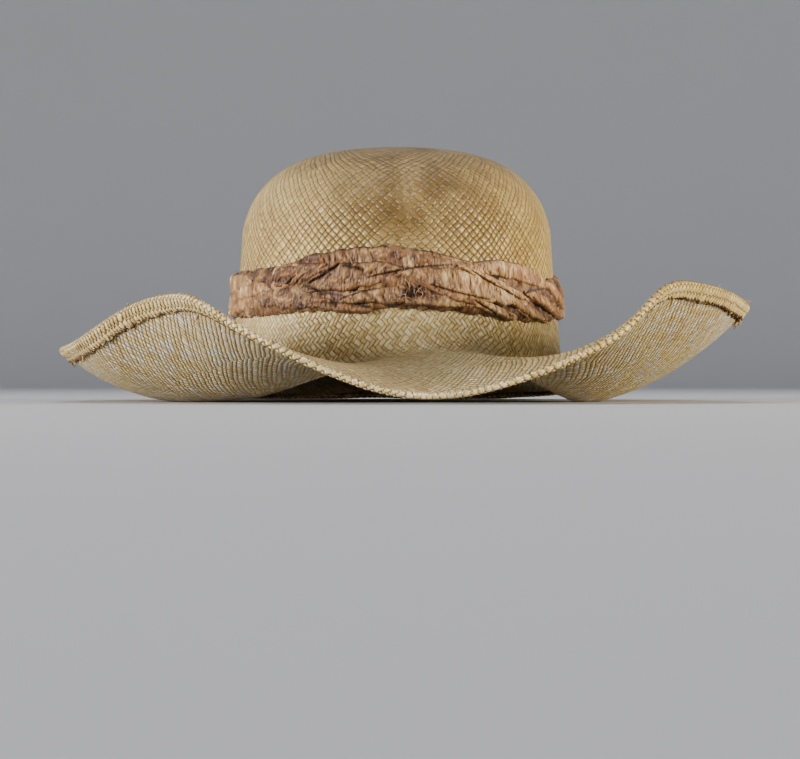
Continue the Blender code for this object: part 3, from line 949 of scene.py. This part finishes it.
def straw_finish(name, cell):
    """The colour, the painted shade in the gaps and the gloss of split straw on the cells that the function
    cell lays out.

    Cell gets the function that adds a node and the two plait coordinates. It returns the sockets of the
    cell's height, its places across and along the strand from 0 to 1, and the numbers of the strand and of
    the float on it."""
    if name in bpy.data.materials:
        return bpy.data.materials[name]
    straw = bpy.context.scene.hat_straw
    material, node = new_material(name)
    place = node("TexCoord", out=3)
    # The blue mark is pale straw on the underside and the hem, and painted light on the outer wall below the
    # band.
    _, stain, under = node("SeparateColor", (node("Attribute", **MARKS),), None).outputs

    # Strands aren't cut true: noise of about 6 mm moves their edges by up to a fifth of a strand.
    warp = node("TexNoise", {"Vector": place, "Scale": 160.0, "Detail": 1.0}, 1)
    warp = node("SeparateXYZ", (warp,), None).outputs
    uv = node("SeparateXYZ", (node("UVMap", uv_map="plait"),), None).outputs
    u, v = (node("Math.MULTIPLY_ADD", (warp[k], 0.4, uv[k])) for k in (0, 1))
    height, across, along, number, float_number = cell(node, u, v)

    strand_key = node("CombineXYZ", (number, 0.0, 0.0))
    float_key = node("CombineXYZ", (number, float_number, 3.0))
    strand_chance = node("TexWhiteNoise", (strand_key,))
    float_chance, float_colour = node("TexWhiteNoise", (float_key,), None).outputs

    # Fibres run along the strand, about eight to its width.
    fibre_x = node("Math.MULTIPLY_ADD", (across, 8.0, strand_chance))
    fibre_y = node("Math.MULTIPLY", (number, 7.0))
    fibre_z = node("Math.ADD", (float_number, along))
    fibre = node("CombineXYZ", (fibre_x, fibre_y, fibre_z))
    fibre = node("TexNoise", {"Vector": fibre, "Scale": 1.0, "Detail": 2.0})

    # The tone of the straw: what each strand, float, fibre, patch of 45 mm and the blue mark add to it. The
    # blue mark is the pale underside, and painted light on the outer wall below the band.
    spread = node("Math.MULTIPLY_ADD", (under, 0.26, 0.14))
    patches = node("TexNoise", {"Vector": place, "Scale": 22.0, "Detail": 3.0})
    tone = -0.05
    for chance, share in (
        (strand_chance, 0.14), (float_chance, spread), (fibre, 0.26), (patches, 0.5), (under, 0.14),
    ):
        tone = node("Math.MULTIPLY_ADD", (chance, share, tone))
    colour = node("ValToRGB", (tone,), stops=STRAW_TONES)

    # Sun and handling have browned the outside, less where the blue mark is high: on the underside, and on
    # the outer wall below the band, where it is painted light. The right side is tinted gold, less where the
    # blue mark is high.
    sunned = node("Math.MULTIPLY_ADD", (under, -0.45, 1.0))
    side = node("SeparateXYZ", (place,), 0)
    gold = node("MapRange", (side, 0.01, 0.09, 0.0, 0.9), interpolation_type="SMOOTHSTEP")
    less = node("Math.MULTIPLY_ADD", (under, -0.6, 1.0))
    gold = node("Math.MULTIPLY", (gold, less))
    for share, tint in ((sunned, straw.tan), (gold, straw.gold)):
        colour = node("Mix", {0: share, 6: colour, 7: tuple(tint)}, **TINT)

    # In places about 17 mm across, the floats of the underside have gone grey, several together.
    flecks = node("TexNoise", {"Vector": place, "Scale": 60.0, "Detail": 2.0})
    flecks = node("Math.MULTIPLY_ADD", (flecks, 0.9, float_chance))
    bleached = node("MapRange", (flecks, 1.10, 1.20, 0.0, 0.62))
    hidden = node("MapRange", (under, 0.62, 0.80, 0.0, 1.0))
    bleached = node("Math.MULTIPLY", (bleached, hidden))
    colour = node("Mix", {0: bleached, 6: colour, 7: linear("#cfcabf")}, **BLEND)

    # Painted shade in the gaps: where a strand lies low, its colour goes to the tint of the gaps. The shade
    # is weaker on the underside and in the stained places, where dust has settled in the gaps.
    dust = node("Math.MAXIMUM", (under, stain))
    dust = node("Math.MULTIPLY", (dust, 0.30))
    gap = node("MapRange", (height, 0.12, 0.74, dust, 1.0), interpolation_type="SMOOTHSTEP")
    colour = node("Mix", {0: gap, 6: tuple(straw.gap), 7: colour}, **BLEND)

    # A light stain is a golden brown, and a heavy one reddens as well. The hem's raw edge takes these tints
    # as dirt and painted shade.
    heavy = node("MapRange", (stain, 0.82, 1.0, 0.0, 0.9))
    for share, tint in ((stain, straw.stain), (heavy, straw.rust)):
        colour = node("Mix", {0: share, 6: colour, 7: tuple(tint)}, **TINT)

    # Each float lies at its own small tilt, so that one glints and the next doesn't.
    tilts = node("SeparateXYZ", (float_colour,), None).outputs
    relief = node("Math.MULTIPLY_ADD", (fibre, 0.10, height))
    for k, way in enumerate((across, along)):
        tilt = node("Math.SUBTRACT", (tilts[k], 0.5))
        tilt = node("Math.MULTIPLY", (tilt, way))
        relief = node("Math.MULTIPLY_ADD", (tilt, 0.5, relief))
    strength = node("Math.MULTIPLY_ADD", (under, -0.30, 1.0))
    strength = node("Math.MULTIPLY_ADD", (stain, -0.55, strength))
    bump = node("Bump", {"Strength": strength, "Distance": straw.strand_relief, "Height": relief})
    rough = node("MapRange", (fibre, 0.2, 0.8, 0.26, 0.44))
    shader = node("BsdfPrincipled", {
        "Base Color": colour, "Roughness": rough, "Normal": bump, "IOR": 1.5, "Specular IOR Level": 0.5,
    })
    node("OutputMaterial", (shader,), None)
    return material


def plaited_cell(node, u, v):
    """Strands of two families cross at 45 degrees to the plait coordinates: over one and under one where the
    red mark is 1, and over two and under two where it is 0."""
    plain = node("SeparateColor", (node("Attribute", **MARKS),), 0)

    # Some strands are split wider than others: smooth noise of the strand's own place moves its edges.
    ways = []
    for operation, scale in (("ADD", 0.8), ("SUBTRACT", 0.7)):
        way = node("Math." + operation, (v, u))
        wide = node("TexNoise", {"W": way, "Scale": scale, "Detail": 0.0}, noise_dimensions="1D")
        ways.append(node("Math.MULTIPLY_ADD", (wide, 0.6, way)))
    s, t = ways
    i, j = (node("Math.FLOOR", (way,)) for way in ways)
    part_s, part_t = (node("Math.FRACT", (way,)) for way in ways)
    half = node("Math.MULTIPLY_ADD", (plain, -1.0, 2.0))
    period = node("Math.MULTIPLY", (half, 2.0))

    # One strand family is on top in half of each period, and the other in the rest.
    both = node("Math.ADD", (i, j))
    phase = node("Math.FLOORED_MODULO", (both, period))
    first = node("Math.LESS_THAN", (phase, half))
    run_a = node("Math.ADD", (i, t))
    run_b = node("Math.ADD", (j, s))
    run_b = node("Math.SUBTRACT", (run_b, half))
    run = node("Mix", (first, None, run_b, run_a))
    run_place = node("Math.DIVIDE", (run, period))
    float_number = node("Math.FLOOR", (run_place,))
    along = node("Math.FLOORED_MODULO", (run, period))
    along = node("Math.DIVIDE", (along, half))
    across = node("Mix", (first, None, part_t, part_s))
    number_b = node("Math.ADD", (j, 517.0))
    number = node("Mix", (first, None, number_b, i))

    # The strand is a flat round across its width and dips under its neighbour at both ends. On the brim it is
    # rounder and its ends fade, so that its floats look like grains.
    plan = (1 / CROWN_HALF_WIDTH, 1 / CROWN_HALF_LENGTH, 0.0)
    place = node("Mapping", {"Vector": node("TexCoord", out=3), "Scale": plan})
    reach = node("VectorMath.LENGTH", (place,), 1)
    outer = node("MapRange", (reach, 1.10, 1.35, 0.0, 1.0))
    changes = ((-0.8, 3.2), (-0.9, 3.0), (-0.35, -0.5))
    shape = (node("Math.MULTIPLY_ADD", (outer, change, crown)) for change, crown in changes)
    return rounded(node, across, along, *shape), across, along, number, float_number


def rounded(node, across, along, flatness, reach, dip):
    """The height of a flat round strand: the root of one minus the distance from its middle to the power of
    its flatness, times one plus dip times the distance from its middle along it to the power of reach."""
    powers = []
    for place, power in ((across, flatness), (along, reach)):
        way = node("Math.MULTIPLY_ADD", (place, 2.0, -1.0))
        way = node("Math.ABSOLUTE", (way,))
        powers.append(node("Math.POWER", (way, power)))
    height = node("Math.SUBTRACT", (1.0, powers[0]))
    height = node("Math.POWER", (height, 0.5))
    ends = node("Math.MULTIPLY_ADD", (powers[1], dip, 1.0))
    return node("Math.MULTIPLY", (height, ends))


def kernel_cell(node, u, v):
    """The hem's ovals, as kernel_relief gives them."""
    waves = [node("Math.MULTIPLY", pair) for pair in ((u, 2 * np.pi), (v, np.pi))]
    waves = [node("Math.COSINE", (wave,)) for wave in waves]
    reach = node("Math.MULTIPLY", waves)
    v = node("Math.MULTIPLY_ADD", (reach, -KERNEL_REACH, v))
    row = node("Math.FLOOR", (v,))
    odd = node("Math.FLOORED_MODULO", (row, 2.0))
    along = node("Math.FRACT", (v,))
    middle = node("Math.SUBTRACT", (along, 0.5))
    lean = node("Math.MULTIPLY_ADD", (odd, -2.0 * KERNEL_LEAN, KERNEL_LEAN))
    place = node("Math.MULTIPLY_ADD", (odd, 0.5, u))
    place = node("Math.MULTIPLY_ADD", (middle, lean, place))
    number = node("Math.FLOOR", (place,))
    across = node("Math.FRACT", (place,))
    return rounded(node, across, along, KERNEL_ROUNDNESS, 3.0, -0.8), across, along, number, row


STRAW_TONES = ((0.0, "#7d6541"), (0.3, "#ac946a"), (0.55, "#cbb98e"), (0.8, "#e0d2b0"), (1.0, "#f2ebd7"))
SILK_TONES = ((0.0, "#352214"), (0.22, "#684b34"), (0.48, "#92734f"), (0.75, "#c3a57c"), (1.0, "#eedcbe"))


def straw_material():
    """Plaited straw: split palm strands, flat and a little shiny, woven over and under each other.

    The eye sees flat cells, each at its own small tilt, with thin brown gaps of painted shade between them.
    The crown's strands are about 3 mm wide, as the real ones are. The brim's grains are drawn a fifth coarser
    than the real ones, which are 2.4 by 4 mm."""
    return straw_finish("plaited_straw", plaited_cell)


def hem_material():
    """The hem's plait: the same straw, doubled back over the edge, whose turns stand side by side like grains
    of maize, about 3 mm wide and 4 mm high."""
    return straw_finish("plaited_hem", kernel_cell)


def strand_material(name, scale, detail, dark, pale, finish, relief=0.0):
    """A thin strand: noise of the given scale runs from a dark to a pale colour, and stands out by the
    relief, on a shader with the sockets of its finish."""
    material, node = new_material(name)
    noise = node("TexNoise", {"Vector": node("TexCoord", out=3), "Scale": scale, "Detail": detail})
    colour = node("ValToRGB", (noise,), stops=((0.3, dark), (0.7, pale)))
    sockets = {"Base Color": colour, **finish}
    if relief:
        sockets["Normal"] = node("Bump", {"Strength": 0.6, "Distance": relief, "Height": noise})
    node("OutputMaterial", (node("BsdfPrincipled", sockets),), None)
    return material


def silk_material():
    """Old silk, plain-woven and shattered with age: tan, with painted light on its crests and painted shade,
    with some dirt, in its creases, and reddish in places. Its threads are too fine to show, so its crinkles
    and crushed flats are drawn, in the bump and as painted light and shade in the colour."""
    if "aged_silk" in bpy.data.materials:
        return bpy.data.materials["aged_silk"]
    silk = bpy.context.scene.hat_silk
    material, node = new_material("aged_silk")
    uv = node("UVMap", uv_map="plait")
    shade, red, _ = node("SeparateColor", (node("Attribute", **MARKS),), None).outputs
    # Its patches are about 11 mm across, and its crinkles about 1 by 6 mm.
    patches = node("TexNoise", {"Vector": uv, "Scale": 90.0, "Detail": 4.0, "Roughness": 0.6})
    crinkle = node("Mapping", {"Vector": uv, "Rotation": (0.0, 0.0, 0.5), "Scale": (900.0, 160.0, 1.0)})
    crinkle = node("TexNoise", {"Vector": crinkle, "Scale": 1.0, "Detail": 2.0})

    # Crushed silk breaks into flat places about 2 mm across, with creases between them.
    crush = node("Mapping", {"Vector": uv, "Rotation": (0.0, 0.0, 0.6), "Scale": (760.0, 330.0, 1.0)})
    crush = node("TexVoronoi", {"Vector": crush, "Scale": 1.0})
    # The tone: the shade mark, the patches, and, as painted light and shade, the crinkles and crushed flats,
    # which are lighter where their bump stands higher.
    tone = node("Math.SUBTRACT", (shade, 0.44))
    for value, share in ((patches, 0.35), (crinkle, 0.30), (crush, 0.22)):
        tone = node("Math.MULTIPLY_ADD", (value, share, tone))
    colour = node("ValToRGB", (tone,), stops=SILK_TONES)
    colour = node("Mix", {0: red, 6: colour, 7: tuple(silk.red)}, **TINT)
    relief = node("Math.MULTIPLY_ADD", (crush, 1.2, crinkle))
    bump = node("Bump", {"Strength": 0.8, "Distance": 0.0007, "Height": relief})
    shader = node("BsdfPrincipled", {
        "Base Color": colour, "Roughness": 0.50, "Normal": bump, "Sheen Weight": 0.15, "Sheen Roughness": 0.4,
    })
    node("OutputMaterial", (shader,), None)
    return material


def build_stage(settings):
    """A round studio cove: a flat floor whose rim curves up into a wall. Its profile is carried round Z."""
    turn = np.linspace(-np.pi / 2, 0.0, 9)
    radius = np.concatenate(((0.4, 1.5, 3.0), 3.0 + 1.5 * np.cos(turn), (4.5, 4.5)))
    height = np.concatenate(((0.0, 0.0, 0.0), 1.5 + 1.5 * np.sin(turn), (3.0, 4.5)))
    angle = (np.arange(COVE_SIDES) * 2 * np.pi / COVE_SIDES)[:, None]
    points = np.stack((radius * np.cos(angle), radius * np.sin(angle), height + 0 * angle), axis=-1)
    faces = grid_faces(COVE_SIDES, len(radius))[0].tolist()
    faces.append((np.arange(COVE_SIDES) * len(radius)).tolist())
    # Matt emulsion paint: even and pale, with a soft glow of the lamps in it.
    paint, node = new_material("studio_paint")
    shader = node("BsdfPrincipled", {"Base Color": tuple(settings.floor), "Roughness": 0.7})
    node("OutputMaterial", (shader,), None)
    mesh_object("studio_floor", points, faces, paint)

    aim = Vector((0.0, 0.0, 0.07))
    lamps = (
        ("left_softbox", (-1.75, -0.80, 0.27), 0.7, 0.5, settings.left_light, "#fffdf9"),
        ("right_softbox", (1.75, -0.75, 0.27), 0.7, 0.5, settings.right_light, "#fff8ea"),
        ("top_softbox", (0.0, 0.5, 1.9), 1.2, 1.2, settings.top_light, "#ffffff"),
        ("front_fill", (-0.2, -2.6, 0.33), 1.0, 0.6, settings.fill_light, "#ffffff"),
    )
    for name, place, width, height, power, code in lamps:
        lamp = bpy.data.lights.new(name, "AREA")
        lamp.shape = "RECTANGLE"
        lamp.size = width
        lamp.size_y = height
        lamp.energy = power
        lamp.color = linear(code)[:3]
        obj = bpy.data.objects.new(name, lamp)
        obj.location = place
        obj.rotation_euler = (aim - Vector(place)).to_track_quat("-Z", "Y").to_euler()
        obj.visible_camera = False
        bpy.context.scene.collection.objects.link(obj)
    world = bpy.data.worlds.new("studio_air")
    world.use_nodes = True
    world.node_tree.nodes["Background"].inputs["Color"].default_value = linear("#eef0f6")
    world.node_tree.nodes["Background"].inputs["Strength"].default_value = settings.air
    bpy.context.scene.world = world
    bpy.context.scene.view_settings.look = "AgX - Medium High Contrast"


def build_camera(settings):
    """A level camera just above the floor, a little to the left of the hat's front as in the photograph."""
    camera = bpy.data.cameras.new("camera")
    camera.sensor_width = 36.0
    camera.lens = settings.focal_length
    camera.clip_start = 0.05
    camera.clip_end = 50.0
    obj = bpy.data.objects.new("camera", camera)
    turn, distance = settings.camera_turn, settings.distance
    obj.location = (-distance * np.sin(turn), -distance * np.cos(turn), settings.camera_height)
    obj.rotation_euler = (np.pi / 2, 0.0, -turn)
    bpy.context.scene.collection.objects.link(obj)
    bpy.context.scene.camera = obj


def amount(name, description, default, **kind):
    """A number that a user may change, with its unit or subtype where it has one."""
    return bpy.props.FloatProperty(name=name, description=description, default=default, **kind)


def metres(name, description, default):
    """A length in metres that a user may change."""
    return amount(name, description, default, unit="LENGTH")


def hue(name, description, code):
    """A colour that a user may change, given as an sRGB hex value."""
    return bpy.props.FloatVectorProperty(
        name=name, description=description, default=linear(code), subtype="COLOR", size=4)


class HatStraw(bpy.types.PropertyGroup):
    """Sizes and colours of the plaited straw."""

    thickness: metres("Straw thickness", "Thickness of the plaited wall", STRAW_THICKNESS)
    crown_cell: metres("Crown cell", "Distance between two cells along a ring of the crown", 0.0044)
    brim_cell: metres("Brim cell", "Width of a cell beside the crown; farther out they are narrower", 0.0034)
    hem_cell: metres("Hem cell", "Width of an oval of the hem's plait", 0.0031)
    hem_row: metres("Hem row", "Height of a row of the hem's plait", 0.0043)
    hem_relief: metres("Hem relief", "Height of the hem's plait", 0.0006)
    strand_relief: metres("Strand relief", "Height of a strand over the gaps beside it", 0.0014)
    unevenness: metres("Unevenness", "How far the brim strays from a true surface", 0.0008)
    stitch_spacing: metres("Stitch spacing", "Distance between two hem stitches", 0.0026)
    thread_radius: metres("Thread radius", "Radius of the sewing thread", 0.00038)
    tan: hue("Tan", "Tint of the outside, browned by the sun", "#f7eeda")
    gold: hue("Gold", "Tint of the right side", "#fcf7d6")
    # The tint of the painted shade in the gaps between strands.
    gap: hue("Gap", "Colour between the strands", "#503c20")
    stain: hue("Stain", "Tint of a light stain", "#877a57")
    rust: hue("Rust", "Tint that a heavy stain has as well", "#8a5a40")


class HatSilk(bpy.types.PropertyGroup):
    """Sizes and colour of the silk band."""

    silk_thickness: metres("Silk thickness", "Thickness of the doubled silk", 0.0003)
    crumple: metres("Crumple", "Height of the crumples", 0.0022)
    red: hue("Red", "Tint of the reddest silk", "#d6a483")


class HatStudio(bpy.types.PropertyGroup):
    """The studio's lights, floor and camera."""

    floor: hue("Floor", "Floor paint", "#c4c5c9")
    left_light: amount("Left light", "Its power", 48.0, unit="POWER")
    right_light: amount("Right light", "Its power", 45.0, unit="POWER")
    top_light: amount("Top light", "Its power", 10.0, unit="POWER")
    fill_light: amount("Fill light", "Its power", 8.0, unit="POWER")
    air: amount("Air", "Strength of the light from all around", 0.44)
    focal_length: amount("Focal length", "Of the camera's lens", 126.8, unit="CAMERA")
    distance: metres("Distance", "From the hat's middle to the camera", 1.55)
    camera_height: metres("Camera height", "Above the floor", 0.012)
    camera_turn: amount(
        "Camera turn", "How far the camera stands to the left of the hat's front", 0.0663, subtype="ANGLE",
        unit="ROTATION")


def own(obj, slot_name, *nodes):
    """The piece rides on the hat's body and may stand for CAD nodes, which it hides. The slot name is not
    used.
    """
    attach(obj, "root")
    if nodes:
        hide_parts(*nodes)


class HAT_OT_straw_body(bpy.types.Operator):
    """Weaves the crown, the brim and the hem"""

    bl_idname = "hat.straw_body"
    bl_label = "Straw Body"

    def execute(self, context):
        settings = context.scene.hat_straw
        own(build_crown(settings), "straw", "straw_body")
        own(build_brim(settings), "straw")
        own(build_hem(settings), "straw")
        return {"FINISHED"}


class HAT_OT_stitches(bpy.types.Operator):
    """Sews the hem with brown thread and lets straw ends stand out of it"""

    bl_idname = "hat.stitches"
    bl_label = "Hem Stitches"

    def execute(self, context):
        own(build_stitches(context.scene.hat_straw), "straw")
        own(build_straw_ends(), "straw")
        return {"FINISHED"}


class HAT_OT_silk_band(bpy.types.Operator):
    """Winds the silk round the crown"""

    bl_idname = "hat.silk_band"
    bl_label = "Silk Band"

    def execute(self, context):
        pieces = build_silk(context.scene.hat_silk)
        own(pieces[0], "silk", "silk_band")
        for piece in pieces[1:]:
            own(piece, "silk")
        return {"FINISHED"}


class HAT_OT_studio(bpy.types.Operator):
    """Sets up the floor, the lights and the camera"""

    bl_idname = "hat.studio"
    bl_label = "Studio"

    def execute(self, context):
        build_stage(context.scene.hat_studio)
        build_camera(context.scene.hat_studio)
        return {"FINISHED"}


class HAT_PT_panel(bpy.types.Panel):
    """The hat's settings and steps"""

    bl_idname = "HAT_PT_panel"
    bl_label = "Straw Hat"
    bl_space_type = "VIEW_3D"
    bl_region_type = "UI"
    bl_category = "Straw Hat"

    def draw(self, context):
        for group in (context.scene.hat_straw, context.scene.hat_silk, context.scene.hat_studio):
            box = self.layout.box()
            for name in group.__annotations__:
                box.prop(group, name)
        for operator in OPERATORS:
            self.layout.operator(operator.bl_idname)


GROUPS = (("hat_straw", HatStraw), ("hat_silk", HatSilk), ("hat_studio", HatStudio))
OPERATORS = (HAT_OT_straw_body, HAT_OT_stitches, HAT_OT_silk_band, HAT_OT_studio)


def register():
    for name, group in GROUPS:
        bpy.utils.register_class(group)
        setattr(bpy.types.Scene, name, bpy.props.PointerProperty(type=group))
    for kind in (*OPERATORS, HAT_PT_panel):
        bpy.utils.register_class(kind)


def unregister():
    for kind in (HAT_PT_panel, *reversed(OPERATORS)):
        bpy.utils.unregister_class(kind)
    for name, group in reversed(GROUPS):
        delattr(bpy.types.Scene, name)
        bpy.utils.unregister_class(group)


def main():
    register()
    bpy.ops.hat.straw_body()
    bpy.ops.hat.stitches()
    bpy.ops.hat.silk_band()
    bpy.ops.hat.studio()


if __name__ == "__main__":
    main()
